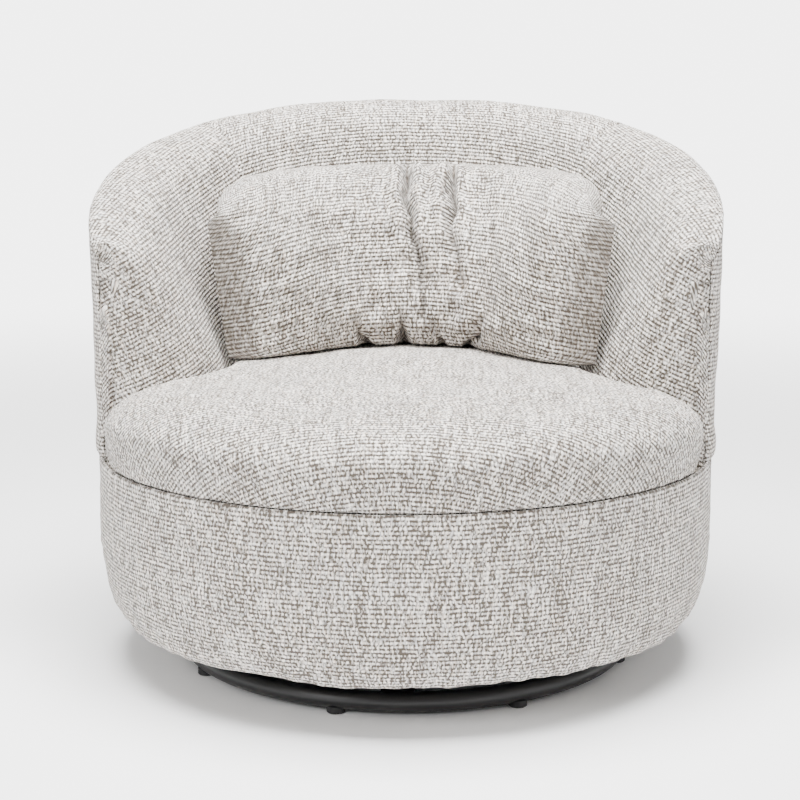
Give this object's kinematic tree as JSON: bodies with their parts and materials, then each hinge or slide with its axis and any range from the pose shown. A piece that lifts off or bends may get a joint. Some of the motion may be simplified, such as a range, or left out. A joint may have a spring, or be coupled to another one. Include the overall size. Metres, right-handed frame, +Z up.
{
  "type": "swivel lounge chair",
  "caption": "Round upholstered barrel lounge chair with a loose lumbar pillow, turning freely on a low black ring base.",
  "frame": {"origin": "on the floor under the swivel's axis", "axes": "+Z up, the seat faces -Y, +X to the right of a viewer in front of the chair"},
  "size_m": [0.8, 0.8001, 0.712],
  "materials": {
    "black_steel": "satin",
    "black_plastic": "matte",
    "zinc_steel": "satin",
    "bright_steel": "polished",
    "white_plastic": "matte",
    "brass": "satin",
    "plywood": "matte",
    "hardboard": "matte",
    "foam": "matte",
    "tweed": "matte",
    "black_cloth": "matte",
    "webbing": "matte"
  },
  "bodies": {
    "base": {"base_ring": "black_steel", "cross_tube_long": "black_steel", "cross_tubes_short": "black_steel", "floor_glides": "black_plastic", "glide_screws": "zinc_steel", "lower_plate": "zinc_steel", "lower_bolts": "zinc_steel", "weld_nuts": "zinc_steel", "pivot_pin": "zinc_steel", "pivot_washer": "zinc_steel", "pivot_nut": "zinc_steel"},
    "ball_cage": {"ball_cage": "white_plastic", "bearing_balls": "bright_steel"},
    "seat_body": {"upper_plate": "zinc_steel", "pivot_bush": "brass", "upper_bolts": "zinc_steel", "tee_nuts": "zinc_steel", "bottom_board": "plywood", "drum_ribs": "plywood", "drum_wrap_board": "hardboard", "drum_foam": "foam", "drum_cover": "tweed", "dust_cover": "black_cloth", "seat_board": "plywood", "webbing_lower": "webbing", "webbing_upper": "webbing", "top_rail": "plywood", "back_uprights": "plywood", "rail_screws": "zinc_steel", "inner_back_board": "hardboard", "outer_back_board": "hardboard", "back_foam": "foam", "outer_wadding": "foam", "back_panel_cover": "tweed", "left_arm_cover": "tweed", "right_arm_cover": "tweed", "outer_back_cover": "tweed", "seat_cover": "tweed", "seat_foam": "foam"},
    "lumbar_pillow": {"pillow_cover": "tweed", "pillow_filling": "foam"}
  },
  "joints": [
    {"name": "seat_swivel", "type": "hinge", "parent": "base", "child": "seat_body", "pos_m": [0, 0, 0.047], "axis": [0, 0, 1], "continuous": true},
    {"name": "cage_turn", "type": "hinge", "parent": "base", "child": "ball_cage", "pos_m": [0, 0, 0.04], "axis": [0, 0, 1], "continuous": true},
    {"name": "pillow_lift", "type": "slide", "parent": "seat_body", "child": "lumbar_pillow", "axis": [0, 0, 1], "range_m": [0, 0.4]}
  ],
  "couplings": [
    {"joint": "cage_turn", "follows": "seat_swivel", "ratio": 0.5}
  ]
}
